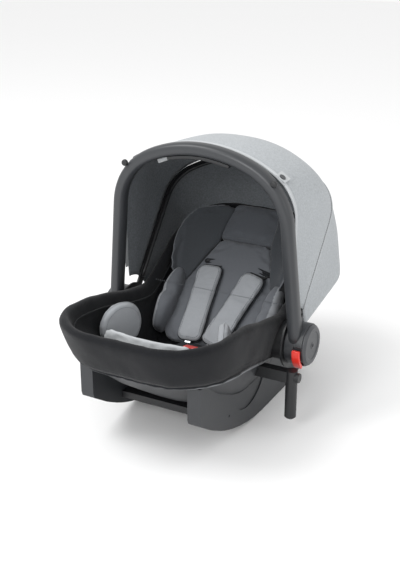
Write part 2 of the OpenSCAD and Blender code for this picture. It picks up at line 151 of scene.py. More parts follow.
def add(tree, kind, **values):
    """A new node, its named inputs and settings set in one call."""
    node = tree.nodes.new(kind)
    for key, value in values.items():
        if key in node.inputs:
            node.inputs[key].default_value = value
        else:
            setattr(node, key, value)
    return node


def math_node(tree, operation, a, b=None):
    node = tree.nodes.new("ShaderNodeMath")
    node.operation = operation
    for socket, value in zip(node.inputs, (a, b)):
        if isinstance(value, (int, float)):
            socket.default_value = value
        elif value is not None:
            tree.links.new(value, socket)
    return node.outputs[0]


def knit_group():
    """Rows of small loops: bands across two directions, broken up by a fine noise."""
    tree, inp, out = new_group("knit", [("Vector", "NodeSocketVector", None),
                                        ("Rows per metre", "NodeSocketFloat", 700.0),
                                        ("Unevenness", "NodeSocketFloat", 0.3)], ["Height", "Melange"])
    scale = add(tree, "ShaderNodeVectorMath", operation="SCALE")
    tree.links.new(inp.outputs["Vector"], scale.inputs[0])
    tree.links.new(inp.outputs["Rows per metre"], scale.inputs["Scale"])
    axes = add(tree, "ShaderNodeSeparateXYZ")
    tree.links.new(scale.outputs[0], axes.inputs[0])
    bands = [math_node(tree, "SINE", math_node(tree, "MULTIPLY", axis, 6.283)) for axis in axes.outputs]
    cross = math_node(tree, "ADD", math_node(tree, "MULTIPLY", bands[0], bands[1]),
                      math_node(tree, "MULTIPLY", bands[1], bands[2]))
    fine = add(tree, "ShaderNodeTexNoise", Scale=1.7, Detail=3.0)
    tree.links.new(scale.outputs[0], fine.inputs["Vector"])
    uneven = math_node(tree, "MULTIPLY", fine.outputs["Fac"], inp.outputs["Unevenness"])
    tree.links.new(math_node(tree, "ADD", math_node(tree, "MULTIPLY", cross, 0.35), uneven),
                   out.inputs["Height"])
    flecks = add(tree, "ShaderNodeTexNoise", Scale=0.55, Detail=4.0, Roughness=0.75)
    tree.links.new(scale.outputs[0], flecks.inputs["Vector"])
    tree.links.new(flecks.outputs["Fac"], out.inputs["Melange"])
    return tree


def grain_group():
    """The etched skin of a moulding: fine pits, and a slow drift that dulls some areas."""
    tree, inp, out = new_group("moulded_grain", [("Vector", "NodeSocketVector", None),
                                                 ("Grains per metre", "NodeSocketFloat", 900.0)],
                               ["Height", "Drift"])
    pits = add(tree, "ShaderNodeTexVoronoi", feature="SMOOTH_F1")
    tree.links.new(inp.outputs["Vector"], pits.inputs["Vector"])
    tree.links.new(inp.outputs["Grains per metre"], pits.inputs["Scale"])
    tree.links.new(pits.outputs["Distance"], out.inputs["Height"])
    drift = add(tree, "ShaderNodeTexNoise", Scale=14.0, Detail=3.0)
    tree.links.new(inp.outputs["Vector"], drift.inputs["Vector"])
    tree.links.new(drift.outputs["Fac"], out.inputs["Drift"])
    return tree


KNIT, GRAIN = knit_group(), grain_group()
print("shader groups:", KNIT.name, GRAIN.name)

# %% [markdown]
# ## Finishes
# Each finish is one material that reads its weave or its grain from the shared groups. A knit needs fine
# relief and a soft sheen, and a moulded plastic needs a broad dull highlight and a faint grain.

# %% Finishes made from the groups
def start_material(name, group, **values):
    mat = bpy.data.materials.new(name)
    mat.use_nodes = True
    tree = mat.node_tree
    coords = tree.nodes.new("ShaderNodeTexCoord")
    node = tree.nodes.new("ShaderNodeGroup")
    node.node_tree = group
    for key, value in values.items():
        node.inputs[key.replace("_", " ")].default_value = value
    tree.links.new(coords.outputs["Object"], node.inputs["Vector"])
    return mat, tree, node, tree.nodes["Principled BSDF"]


def two_tone(tree, mask, low, high, dark, light):
    ramp = add(tree, "ShaderNodeValToRGB")
    ramp.color_ramp.elements[0].position, ramp.color_ramp.elements[1].position = low, high
    ramp.color_ramp.elements[0].color = (*dark, 1)
    ramp.color_ramp.elements[1].color = (*light, 1)
    tree.links.new(mask, ramp.inputs[0])
    return ramp.outputs[0]


def bump(tree, shader, height, strength, distance):
    node = add(tree, "ShaderNodeBump", Strength=strength, Distance=distance)
    tree.links.new(height, node.inputs["Height"])
    tree.links.new(node.outputs[0], shader.inputs["Normal"])


def cloth_material(name, colour, contrast=0.12, rows=700.0, relief=0.35, sheen=0.25, bright=0.0):
    """Knitted or woven cloth: melange flecks in the colour, loops in the relief, a soft sheen."""
    mat, tree, knit, shader = start_material(name, KNIT, Rows_per_metre=rows, Unevenness=0.45)
    base = np.array(linear(colour))
    dark, light = base * (1 - contrast), np.minimum(base * (1 + contrast) + bright, 1)
    tree.links.new(two_tone(tree, knit.outputs["Melange"], 0.36, 0.64, dark, light),
                   shader.inputs["Base Color"])
    bump(tree, shader, knit.outputs["Height"], relief, 0.0006)
    shader.inputs["Roughness"].default_value = 0.92
    shader.inputs["Specular IOR Level"].default_value = 0.18
    shader.inputs["Sheen Weight"].default_value = sheen
    shader.inputs["Sheen Roughness"].default_value = 0.45
    return mat


def plastic_material(name, colour, roughness=0.42, relief=0.12, grains=900.0, coat=0.0):
    """Injection moulded plastic: fine grain, with gloss that drifts a little over the part."""
    mat, tree, grain, shader = start_material(name, GRAIN, Grains_per_metre=grains)
    base = np.array(linear(colour))
    tree.links.new(two_tone(tree, grain.outputs["Drift"], 0.3, 0.7, base * 0.93, base * 1.07),
                   shader.inputs["Base Color"])
    gloss = add(tree, "ShaderNodeMapRange")
    gloss.inputs["To Min"].default_value = roughness - 0.05
    gloss.inputs["To Max"].default_value = roughness + 0.07
    tree.links.new(grain.outputs["Drift"], gloss.inputs["Value"])
    tree.links.new(gloss.outputs[0], shader.inputs["Roughness"])
    bump(tree, shader, grain.outputs["Height"], relief, 0.0003)
    shader.inputs["Coat Weight"].default_value = coat
    return mat


def metal_material(name, colour, roughness):
    mat, tree, grain, shader = start_material(name, GRAIN, Grains_per_metre=2500.0)
    shader.inputs["Metallic"].default_value = 1.0
    shader.inputs["Roughness"].default_value = roughness
    base = np.array(linear(colour))
    tree.links.new(two_tone(tree, grain.outputs["Drift"], 0.3, 0.7, base * 0.9, base),
                   shader.inputs["Base Color"])
    bump(tree, shader, grain.outputs["Height"], 0.08, 0.0001)
    return mat


FINISH = {
    "shell_plastic": plastic_material("shell_moulding", "#2E3033", 0.48, 0.16),
    "handle_plastic": plastic_material("handle_moulding", "#333538", 0.36, 0.06),
    "cap_plastic": plastic_material("cap_moulding", "#3E4043", 0.40, 0.08),
    "black_plastic": plastic_material("black_moulding", "#1C1D1F", 0.45, 0.12),
    "trim_plastic": plastic_material("lip_moulding", "#6B6D70", 0.5, 0.10),
    "red_plastic": plastic_material("red_lever_moulding", "#DE3226", 0.32, 0.04, coat=0.25),
    "cover_fabric": cloth_material("black_jersey", "#17181B", 0.16, 620.0, 0.45, 0.12),
    "canopy_fabric": cloth_material("grey_melange", "#A9ADB0", 0.13, 520.0, 0.4, 0.15),
    # The canopy's inside is the same grey melange painted darker: painted shade under the canopy, not a
    # second cloth.
    "canopy_inside_painted_shade": cloth_material("grey_melange_painted_shade", "#777B7F", 0.2, 520.0, 0.4, 0.1),
    "canopy_trim": cloth_material("pale_binding", "#B9BCBE", 0.05, 900.0, 0.25, 0.15),
    "insert_light": cloth_material("light_grey_jersey", "#96999D", 0.05, 900.0, 0.2, 0.3),
    "insert_mid": cloth_material("mid_grey_jersey", "#66696E", 0.06, 900.0, 0.2, 0.25),
    "insert_head": cloth_material("head_grey_jersey", "#56595E", 0.06, 900.0, 0.2, 0.25),
    "insert_dark": cloth_material("dark_grey_jersey", "#45484C", 0.06, 900.0, 0.2, 0.3),
    "webbing": cloth_material("black_webbing", "#151618", 0.12, 1100.0, 0.6, 0.1),
    "steel": metal_material("zinc_plate", "#B8B8BA", 0.32),
    "foam": plastic_material("bead_foam", "#C9CACA", 0.85, 0.6, 260.0),
    "stitch": cloth_material("grey_thread", "#5F6367", 0.1, 1500.0, 0.4, 0.2),
    "piping": cloth_material("dark_piping", "#1F2124", 0.1, 900.0, 0.3, 0.2),
}
print(len(FINISH), "finishes")

# %% [markdown]
# ## Making meshes
# Most pieces here are lofts: rings of points joined into a skin. The helpers below turn rings into a
# mesh whose faces point outwards, and hang the finished piece on its CAD body.

# %% Mesh helpers
def make_mesh(name, points, faces, finish):
    mesh = bpy.data.meshes.new(name)
    mesh.from_pydata([tuple(p) for p in points], [], faces)
    mesh.update()
    obj = bpy.data.objects.new(name, mesh)
    bpy.context.scene.collection.objects.link(obj)
    mesh.materials.append(FINISH[finish])
    mesh.shade_smooth()
    return obj


def recalculate(obj):
    """Merge doubles, then point every face outwards."""
    bm = bmesh.new()
    bm.from_mesh(obj.data)
    bmesh.ops.remove_doubles(bm, verts=bm.verts, dist=1e-6)
    bmesh.ops.recalc_face_normals(bm, faces=bm.faces)
    bm.to_mesh(obj.data)
    bm.free()
    return obj


def loft(name, rings, finish, tube_closed=False):
    """Rings of equal length joined one to the next; the ends are capped unless the last meets the first."""
    n, m = len(rings[0]), len(rings)
    points = [p for ring in rings for p in ring]
    faces = []
    for i in range(m if tube_closed else m - 1):
        for k in range(n):
            a, b = i * n, (i + 1) % m * n
            faces.append((a + k, a + (k + 1) % n, b + (k + 1) % n, b + k))
    if not tube_closed:
        faces += [tuple(reversed(range(n))), tuple(range((m - 1) * n, m * n))]
    return recalculate(make_mesh(name, points, faces, finish))


def with_modifier(obj, kind, **settings):
    """Add one modifier and bake it into the mesh at once."""
    mod = obj.modifiers.new("step", kind)
    for key, value in settings.items():
        setattr(mod, key, value)
    bpy.context.view_layer.update()
    baked = bpy.data.meshes.new_from_object(obj.evaluated_get(bpy.context.evaluated_depsgraph_get()))
    obj.modifiers.clear()
    obj.data = baked
    return obj


def place(obj, body, slot, *nodes):
    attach(obj, body)
    if nodes:
        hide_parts(*nodes)
    return obj


def tube(name, path, radius, finish, closed=False, sides=8):
    """A round cord along a path."""
    path = [Vector(p) for p in path]
    count = len(path)
    rings, up = [], Vector((0, 0, 1))
    for i, p in enumerate(path):
        ahead = path[(i + 1) % count] if closed or i < count - 1 else p
        behind = path[i - 1] if closed or i else p
        along = (ahead - behind).normalized()
        side = along.cross(up)
        if side.length < 1e-3:
            side = along.cross(Vector((0, 1, 0)))
        side.normalize()
        over = side.cross(along)
        rings.append([p + side * (radius * math.cos(t)) + over * (radius * math.sin(t))
                      for t in (2 * math.pi * k / sides for k in range(sides))])
    return loft(name, rings, finish, tube_closed=closed)


def softened(node, width, segments=3, finish=None, angle=30):
    """A copy of a CAD part with its sharp edges rounded, as a mould leaves them."""
    source = frame["nodes"][node]
    obj = bpy.data.objects.new(node + "_soft", source.data.copy())
    bpy.context.scene.collection.objects.link(obj)
    bm = bmesh.new()
    bm.from_mesh(obj.data)
    bmesh.ops.remove_doubles(bm, verts=bm.verts, dist=2e-5)
    bmesh.ops.dissolve_limit(bm, angle_limit=math.radians(4), verts=bm.verts, edges=bm.edges)
    bm.to_mesh(obj.data)
    bm.free()
    with_modifier(obj, "BEVEL", width=width, segments=segments, limit_method="ANGLE",
                  angle_limit=math.radians(angle), harden_normals=False)
    obj.data.materials.clear()
    obj.data.materials.append(FINISH[finish])
    obj.data.shade_smooth()
    with_modifier(obj, "WEIGHTED_NORMAL", keep_sharp=False)
    return obj

# %% [markdown]
# ## The seat's own curves
# The tub's outline changes with height, and its rim is high at the feet, low at the hubs and highest at
# the head. These functions repeat the CAD model's sizes, so that cloth can follow the moulding closely.

# %% Places in the seat's own directions
RECLINE, SEAT_RISE, HANDLE_TILT = (math.radians(a) for a in (42, 12, 1.7))
HANDLE_AHEAD = 24
SEAT_Y, SEAT_Z = -20, -58


def at(x, y, z):
    """A place in millimetres from the handle's axis."""
    return AXIS + Vector((x, y, z)) * MM


def turned(x, y, z, angle, y0=0, z0=0):
    c, s = math.cos(angle), math.sin(angle)
    return at(x, y0 + y * c - z * s, z0 + y * s + z * c)


def on_back(x, v, w):
    """x across, v up the backrest, w out of it."""
    return turned(x, v, w, RECLINE, SEAT_Y, SEAT_Z)


def on_seat(x, v, w):
    """v is negative towards the knees."""
    return turned(x, v, w, -SEAT_RISE, SEAT_Y, SEAT_Z)


def in_handle(x, y, z):
    return turned(x, y - HANDLE_AHEAD, z, HANDLE_TILT)


def mix(a, b, t):
    return a + (b - a) * t


# %% [markdown]
# ## The tub's outline
# One outline, scaled by height, gives every ring of the shell, its lip and the cover. Using the same rule
# for all three keeps the cloth on the moulding.

# %% The tub's outline and rim
HALF_W, FRONT, REAR, CORNER, DIP = 158, 330, 282, 104, 12
LEVELS = np.array([(-96, 176, 236, 46), (-40, 98, 152, 20), (20, 30, 80, 6), (90, 0, 24, 0),
                   (180, 0, -6, 0)], float)
FRONT_STEPS, CORNER_STEPS, SIDE_STEPS = 8, 16, 40


def ease(t):
    return (1 - math.cos(math.pi * min(max(t, 0), 1))) / 2


def rim(y):
    if y < DIP:
        return mix(90, 44, ease(max((y + FRONT) / (DIP + FRONT), 0) ** 1.7))
    return mix(44, 150, ease(((y - DIP) / (REAR - DIP)) ** 0.8))


def way_round():
    """Steps round the tub from the middle of the front: (side, lengthwise share, angle)."""
    half = [(i / FRONT_STEPS, 0, -90) for i in range(FRONT_STEPS)]
    half += [(1, 0, mix(-90, 0, i / CORNER_STEPS)) for i in range(CORNER_STEPS)]
    half += [(1, i / SIDE_STEPS, 0) for i in range(SIDE_STEPS)]
    half += [(1, 1, mix(0, 90, i / CORNER_STEPS)) for i in range(CORNER_STEPS)]
    half += [(1 - i / FRONT_STEPS, 1, 90) for i in range(FRONT_STEPS)]
    return half + [(0, 1, 90)] + [(-s, f, 180 - a) for s, f, a in reversed(half[1:])]


ROUND = way_round()


def tub_xy(step, z, grow):
    side, share, angle = step
    _, front, rear, inset = (np.interp(z, LEVELS[:, 0], LEVELS[:, i]) for i in range(4))
    y = mix(-FRONT + front + CORNER, REAR - rear - CORNER, share)
    reach = CORNER + grow
    return (side * (HALF_W - inset - CORNER) + reach * math.cos(math.radians(angle)),
            y + reach * math.sin(math.radians(angle)))


def tub_place(step, height, grow):
    """Where the tub's wall, grown outwards, is at a height that may depend on y."""
    z = 60.0
    for _ in range(8):
        x, y = tub_xy(step, z, grow)
        z = max(height(y), LEVELS[0, 0]) if callable(height) else height
    return x, y, z


def tub_ring(height, grow):
    return [at(*tub_place(step, height, grow)) for step in ROUND]


def from_rim(shift):
    return lambda y: rim(y) + shift


def down_to(z, share):
    """A height part of the way from just under the rim to z."""
    return lambda y: mix(rim(y) - 24, z, share)


print(len(ROUND), "steps round the tub")

# %% [markdown]
# ## Shell
# The tub is one thin moulding. Its skin is lofted from the outline so that it turns smoothly, where the
# CAD solid is faceted. The outside runs down to a rounded base, and the inside is hidden by the lining.

# %% Shell and its lip
def tub_solid(name, profile, finish):
    """Rings given as (height, grow) from one side of a wall to the other, closed across the floor."""
    rings = [tub_ring(height, grow) for height, grow in profile]
    return loft(name, rings, finish)


outside = [(-96, -14), (-95.5, -7), (-92, -2.2), (-86, -0.3)]
outside += [(down_to(-86, share), 0) for share in (0.85, 0.7, 0.5, 0.3, 0.12, 0)]
outside += [(from_rim(-12), 0), (from_rim(-1), 0), (from_rim(0), -0.8), (from_rim(0), -3.2)]
inside = [(from_rim(-1), -4), (from_rim(-24), -4), (down_to(-90, 0.5), -4), (-90, -4.5), (-92, -10)]
shell = tub_solid("shell_moulding", outside + inside, "shell_plastic")
place(shell, "shell", "shell_plastic", "seat_shell")


def wall_band(name, steps, profile, finish):
    """A moulding or a strip that runs along the tub's wall, its section given as (height, grow)."""
    rings = [[at(*tub_place(step, height, grow)) for height, grow in profile] for step in steps]
    return loft(name, rings, finish)


def stretches(keep):
    """The longest unbroken runs of steps for which keep(x, y, z) holds, at the cover's lower edge."""
    flags = [keep(*tub_place(step, from_rim(-80), 3)) for step in ROUND]
    start = flags.index(False)
    runs, run = [], []
    for i in range(start, start + len(ROUND) + 1):
        if flags[i % len(ROUND)]:
            run.append(ROUND[i % len(ROUND)])
        elif run:
            runs.append(run)
            run = []
    return [r for r in runs if len(r) > 3]


LIP = [(from_rim(h), g) for h, g in ((-78.4, 0.4), (-78.4, 5.2), (-79.2, 6.2), (-82.6, 6.4), (-84, 5.2),
                                     (-84, 0.4))]
HUB_CLEAR = 53
for i, run in enumerate(stretches(lambda x, y, z: math.hypot(y, z) > HUB_CLEAR)):
    lip = wall_band(f"rim_lip_{i}", run, LIP, "trim_plastic")
    place(lip, "shell", "trim_plastic", "edge_trim")
print("shell and lip made")

# %% [markdown]
# ## Rim cover
# A fitted cover of black jersey with a thin wadding wraps the rim, as a sock does: it bulges over the
# edge, pulls in at its elastic lower hem, and goes down inside as the tub's lining.
# It is one loft with the section of the padded roll, ruffled slightly so that light catches folds.

# %% Cover
def ruffle(obj, amount, size, seed):
    """Push points along their normals by smooth noise."""
    normals = [v.normal.copy() for v in obj.data.vertices]
    for vertex, normal in zip(obj.data.vertices, normals):
        push = noise.noise(vertex.co / size + Vector((seed, seed, seed)))
        vertex.co += normal * (amount * push)
    obj.data.update()
    return obj


def gathered(step_no, depth):
    """How far the hem's gathers push the cloth in or out at this step."""
    return depth * noise.noise(Vector((step_no * 0.9, depth, 3.7)))


COVER = [(-78, 3.4), (-76, 4.6), (-70, 5.6), (-58, 6.4), (-45, 6.8), (-30, 7), (-16, 6.9), (-6, 6.2),
         (0, 4.8), (3.6, 2.4), (5.8, -1), (6.4, -4.6), (5.8, -8.6), (3.4, -12), (-1, -14.2), (-8, -15),
         (-16, -14), (-24, -11)]
rings = []
for h, grow in COVER:
    hem = max(0, (-50 - h) / 28)
    rings.append([at(*tub_place(step, from_rim(h), grow + gathered(i, 2.6 * hem)))
                  for i, step in enumerate(ROUND)])
for share, grow in ((0.12, -9), (0.3, -8.2), (0.5, -8), (0.7, -8), (0.86, -8.2)):
    rings.append(tub_ring(down_to(-88, share), grow))
rings += [tub_ring(-87, -11), tub_ring(-89, -20)]
hidden = [(-92, -16), (-90, -6)]
for z, grow in hidden:
    rings.append(tub_ring(z, grow))
rings += [tub_ring(from_rim(-10), -4.4), tub_ring(from_rim(0.4), -4.4), tub_ring(from_rim(0.6), 0.5),
          tub_ring(from_rim(-40), 0.6), tub_ring(from_rim(-77), 0.7)]
cover = loft("rim_cover", rings, "cover_fabric", tube_closed=True)
ruffle(cover, 0.0022, 0.045, 1.3)
ruffle(cover, 0.0008, 0.014, 5.1)
with_modifier(cover, "SUBSURF", levels=1)
place(cover, "shell", "cover_fabric", "seat_cover")
lining = loft("tub_lining", [tub_ring(-89, -19), tub_ring(-92, -19)], "cover_fabric")
place(lining, "shell", "cover_fabric")

seam = tube("cover_inner_seam", tub_ring(from_rim(-17), -15.4), 0.0011, "piping", closed=True, sides=6)
place(seam, "shell", "cover_fabric")
hem_roll = tube("cover_hem", [at(*tub_place(s, from_rim(-76.5), 5.4 + gathered(i, 2.4)))
                              for i, s in enumerate(ROUND)], 0.0022, "piping", closed=True, sides=8)
place(hem_roll, "shell", "cover_fabric")
print("cover points", len(cover.data.vertices))

# %% [markdown]
# ## Handle
# The handle is a bent tube with a soft square section. Sections are set square to an arch of a leg, a
# corner and a top curve, then joined.

# %% Arches
def half_arch(half_w, rise, top_r, corner_r, foot, foot_half_w, steps=(10, 22, 26)):
    """(x, height) from the foot of the right leg to the middle of the top."""
    centre = rise - top_r + math.sqrt((top_r - corner_r) ** 2 - (half_w - corner_r) ** 2)
    turn = math.atan2(centre - (rise - top_r), half_w - corner_r)
    leg, corner, top = steps
    path = [(mix(foot_half_w, half_w, i / leg), mix(foot, centre, i / leg)) for i in range(leg)]
    for i in range(corner + 1):
        a = turn * i / corner
        path.append((half_w - corner_r + corner_r * math.cos(a), centre + corner_r * math.sin(a)))
    for i in range(1, top + 1):
        a = mix(turn, math.pi / 2, i / top)
        path.append((top_r * math.cos(a), rise - top_r + top_r * math.sin(a)))
    return path


def whole_arch(half):
    return half + [(-x, z) for x, z in reversed(half[:-1])]


def smoothed(path, times):
    for _ in range(times):
        middle = [((a[0] + 2 * b[0] + c[0]) / 4, (a[1] + 2 * b[1] + c[1]) / 4)
                  for a, b, c in zip(path, path[1:], path[2:])]
        path = [path[0]] + middle + [path[-1]]
    return path


def swept(name, path, mapper, across, deep, power, finish, sides=40):
    rings = []
    for i, (x, z) in enumerate(path):
        before, after = path[max(i - 1, 0)], path[min(i + 1, len(path) - 1)]
        dx, dz = after[0] - before[0], after[1] - before[1]
        d = math.hypot(dx, dz)
        ring = []
        for k in range(sides):
            c, s = math.cos(2 * math.pi * k / sides), math.sin(2 * math.pi * k / sides)
            u = across * math.copysign(abs(c) ** power, c)
            v = deep * math.copysign(abs(s) ** power, s)
            ring.append(mapper(x + dz / d * u, v, z - dx / d * u))
        rings.append(ring)
    return loft(name, rings, finish)


# %% [markdown]
# ## Handle and hard parts
# The handle is one bent tube, so a section swept along its path makes it. The other hard parts are copies
# of the CAD parts with their edges rounded, because a mould never leaves a knife edge.

# %% Handle, grip, hubs and levers
arch = smoothed(whole_arch(half_arch(175, 355, 246, 120, 11, 195.5)), 6)
handle = swept("handle_tube", arch, in_handle, 12, 14, 0.72, "handle_plastic")
place(handle, "handle", "handle_plastic", "handle_arch")
HARD = [  # node, edge rounding in millimetres, finish
    ("handle_grip", 1.2, "black_plastic"), ("hub_left", 1.4, "handle_plastic"),
    ("hub_right", 1.4, "handle_plastic"), ("hub_cap_left", 0.7, "cap_plastic"),
    ("hub_cap_right", 0.7, "cap_plastic"), ("hub_screws", 0.3, "steel"),
    ("release_lever_left", 1.6, "red_plastic"), ("release_lever_right", 1.6, "red_plastic"),
    ("runner_left", 3.2, "shell_plastic"), ("runner_right", 3.2, "shell_plastic"),
    ("brace_front", 1.5, "black_plastic"), ("brace_rear", 1.5, "black_plastic"),
    ("runner_screws", 0.4, "steel"), ("pivot_mount_left", 1.0, "black_plastic"),
    ("pivot_mount_right", 1.0, "black_plastic"), ("adapter_left", 1.2, "black_plastic"),
    ("adapter_right", 1.2, "black_plastic"), ("adapter_catch_left", 0.6, "cap_plastic"),
    ("adapter_catch_right", 0.6, "cap_plastic"), ("bow_plate_left", 0.5, "black_plastic"),
    ("bow_plate_right", 0.5, "black_plastic"), ("tongue_left", 0.4, "steel"),
    ("tongue_right", 0.4, "steel"), ("buckle_body", 3.0, "black_plastic"),
    ("buckle_button", 1.4, "red_plastic"), ("adjuster_housing", 2.5, "black_plastic"),
    ("adjuster_button", 1.2, "cap_plastic"), ("canopy_snaps", 0.6, "cap_plastic"),
    ("foam_wedge", 4.0, "cover_fabric"), ("crotch_strap", 0.5, "webbing"),
    ("canopy_tabs", 0.3, "canopy_trim")]
body_of = {n: b for b, nodes in frame["record"]["behaviour"]["bodies"].items() for n in nodes}
for node, width, finish in HARD:
    piece = softened(node, width * MM, finish=finish)
    place(piece, body_of[node], finish, node)
print(len(HARD), "hard parts rounded")

# %% [markdown]
# ## Canopy
# The canopy is two sheets on one arch: the front sheet runs from the hem behind the handle to the bow,
# the rear sheet from the bow to the gathered hem at the head. Cloth pulled over bows sags between them,
# so each sheet is a surface of revolution drawn in a little between its edges.

# %% Canopy sheets
BOW, CANOPY_END = math.radians(38), math.radians(81)
HEM_FROM = 1.5
CANOPY_THICK = 1.4
canopy_arch = smoothed(whole_arch(half_arch(182, 362, 262, 92, 64, 181, (8, 16, 20))), 3)


def lean_of_hem(r):
    return math.asin(min(HEM_FROM / r, 1)) - HANDLE_TILT


def canopy_place(x, r, lean, inset):
    """A point of the canopy's arch, leaning back from upright, drawn in towards the inside."""
    swell = 12 * math.exp(-((math.degrees(lean) - 24) / 13) ** 2) - 7 * ease((math.degrees(lean) - 50) / 30)
    scale = 1 - (inset - swell * min(r / 250, 1)) / 300
    return at(x * scale, r * scale * math.sin(lean), r * scale * math.cos(lean))


def canopy_sheet(name, start, end, steps, inset, finish):
    rings = []
    for j in range(steps + 1):
        t = j / steps
        ring = []
        for i, (x, r) in enumerate(canopy_arch):
            a = start(r) if callable(start) else start
            ring.append(canopy_place(x, r, mix(a, end, t), inset(i / (len(canopy_arch) - 1), t)))
        rings.append(ring)
    points = [p for ring in rings for p in ring]
    n = len(canopy_arch)
    faces = [(j * n + i, j * n + i + 1, (j + 1) * n + i + 1, (j + 1) * n + i)
             for j in range(steps) for i in range(n - 1)]
    obj = make_mesh(name, points, faces, finish)
    first = obj.data.polygons[len(faces) // 2]
    if first.normal.dot(first.center - AXIS) < 0:
        obj.data.flip_normals()
    # The inner face of each sheet gets the darker melange through the solidify material offset: painted shade
    # on the canopy's underside.
    obj.data.materials.append(FINISH["canopy_inside_painted_shade"])
    area = sum(f.area for f in obj.data.polygons)
    with_modifier(obj, "SUBSURF", levels=1)
    with_modifier(obj, "SOLIDIFY", thickness=CANOPY_THICK * MM, offset=-1, material_offset=1)
    return obj, area


def front_sag(s, t):
    pull = 3.2 * math.sin(math.pi * t)
    return 0.4 + pull + 2.6 * noise.noise(Vector((s * 7, t * 2.2, 1.1)))


def rear_sag(s, t):
    pull = 4.5 * math.sin(math.pi * min(t * 1.1, 1)) + 5 * t ** 4
    gathers = 4.5 * t * t * noise.noise(Vector((s * 46, t * 1.5, 6.2)))
    return 0.4 + pull + 4 * noise.noise(Vector((s * 6, t * 2.5, 8.4))) + gathers


def arch_length(path):
    return sum(math.hypot(b[0] - a[0], b[1] - a[1]) for a, b in zip(path, path[1:])) * MM


canopy_width = arch_length(canopy_arch)
front_sheet, front_area = canopy_sheet("canopy_front_sheet", lean_of_hem, BOW - 0.004, 18, front_sag,
                                       "canopy_fabric")
rear_sheet, rear_area = canopy_sheet("canopy_rear_sheet", BOW + 0.004, CANOPY_END, 20, rear_sag,
                                     "canopy_fabric")
TOP = max(r for _, r in canopy_arch)
front_deep = TOP * (BOW - lean_of_hem(TOP)) * MM
rear_deep = TOP * (CANOPY_END - BOW) * MM
print("sheets", [round(v, 3) for v in (canopy_width, front_deep, front_area, rear_deep, rear_area)])
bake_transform(front_sheet)
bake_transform(rear_sheet)
for obj, deep, area, node in ((front_sheet, front_deep, front_area, "canopy_front"),
                              (rear_sheet, rear_deep, rear_area, "canopy_rear")):
    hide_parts(node)

# %% [markdown]
# ## Canopy frame and edges
# A wire bow holds the cloth up from inside a sewn casing. The front edge is bound with a rolled strip,
# and seams run where panels of cloth meet.

# %% Bow, its casing, the hem and the seams
bow_arch = smoothed(whole_arch(half_arch(173.6, 353.6, 253.6, 83.6, 64, 173.6)), 3)


def in_bow(x, y, z):
    return turned(x, y, z, -BOW)


bow = swept("bow_wire", bow_arch, in_bow, 4, 4, 1.0, "black_plastic", sides=14)
place(bow, "canopy_middle", "black_plastic", "canopy_bow")
casing = swept("bow_casing", smoothed(whole_arch(half_arch(177.2, 357.2, 257.2, 87.2, 70, 176.8)), 3),
               in_bow, 1.0, 11, 0.6, "webbing", sides=16)
place(casing, "canopy_middle", "canopy_trim")


def along_canopy(lean, inset):
    return [canopy_place(x, r, lean(r) if callable(lean) else lean, inset) for x, r in canopy_arch]


hem_points = [[in_handle(x * (1 + g / 300), y, r * (1 + g / 300)) for y, g in
               ((16.8, -2.4), (16.8, 0.6), (19, 1.6), (22.5, 1.8), (26, 0.6), (26, -2.4))]
              for x, r in canopy_arch if r > 70]
hem = loft("canopy_hem_binding", hem_points, "canopy_trim")
with_modifier(hem, "BEVEL", width=0.0006, segments=2, limit_method="ANGLE", angle_limit=0.5)
place(hem, "canopy_edge", "canopy_trim", "canopy_hem")
for name, lean, inset in (("canopy_seam_bow", BOW, -0.6), ("canopy_seam_rear", CANOPY_END - 0.004, 5.6)):
    body = "canopy_middle" if "bow" in name else "shell"
    seam = tube(name, along_canopy(lean, inset), 0.0015, "canopy_trim", sides=8)
    place(seam, body, "canopy_trim")

# %% [markdown]
# ## Newborn insert
# The insert is a set of stuffed pads. Each starts as a plain closed form in its measured place: a flat
# cushion from its outline, or a bolster from its sections. A cloth simulation then blows them all up a
# little while their seams stay put, which gives crowned faces and small puckers along the seams.

# %% Starting forms of the pads
def rounded_outline(half_w, low, high, corner, pull=0.0):
    """A rounded rectangle in plan, its sides pulled in by 'pull' between the corners."""
    points = []
    for sx, v0, angle in ((1, low, -90), (1, high, 0), (-1, high, 90), (-1, low, 180)):
        cx, cv = sx * (half_w - corner), v0 + corner * (1 if v0 == low else -1)
        arc = [(cx + corner * math.cos(math.radians(angle + 90 * i / 7)),
                cv + corner * math.sin(math.radians(angle + 90 * i / 7))) for i in range(8)]
        points += arc
    dense = []
    for a, b in zip(points, points[1:] + points[:1]):
        steps = max(1, int(math.hypot(b[0] - a[0], b[1] - a[1]) / 8))
        for i in range(steps):
            dense.append((mix(a[0], b[0], i / steps), mix(a[1], b[1], i / steps)))
    middle_v = (low + high) / 2
    shaped = []
    for x, v in dense:
        bow = 1 - ((v - middle_v) / ((high - low) / 2)) ** 2
        shaped.append((x - math.copysign(pull * max(bow, 0), x) * min(abs(x) / half_w, 1), v))
    return shaped


def flat_pad(name, outline, low, high, mapper, finish, crown=3.0, roll=8.0):
    """A cushion on an outline: rolled edge, crowned top. Returns it and its seam path."""
    cx = sum(p[0] for p in outline) / len(outline)
    cv = sum(p[1] for p in outline) / len(outline)
    half, middle = (high - low) / 2, (high + low) / 2

    def ring(inset, shrink, w):
        points = []
        for x, v in outline:
            d = math.hypot(x - cx, v - cv)
            k = max(1 - inset / d, 0.02) * shrink
            points.append(mapper(cx + (x - cx) * k, cv + (v - cv) * k, w))
        return points

    side = []
    for i in range(6):
        a = math.radians(90 * i / 5)
        side.append((roll * (1 - math.cos(a)), 1, half * math.sin(a)))
    inner = [(roll, s, half + crown * (1 - s * s)) for s in (0.8, 0.6, 0.4, 0.2, 0.04)]
    upper = [ring(i, s, middle + w) for i, s, w in side + inner]
    lower = [ring(i, s, middle - min(w, half)) for i, s, w in reversed(side[1:] + inner)]
    pad = loft(name, lower + upper, finish)
    return pad, [mapper(x, v, middle) for x, v in outline]


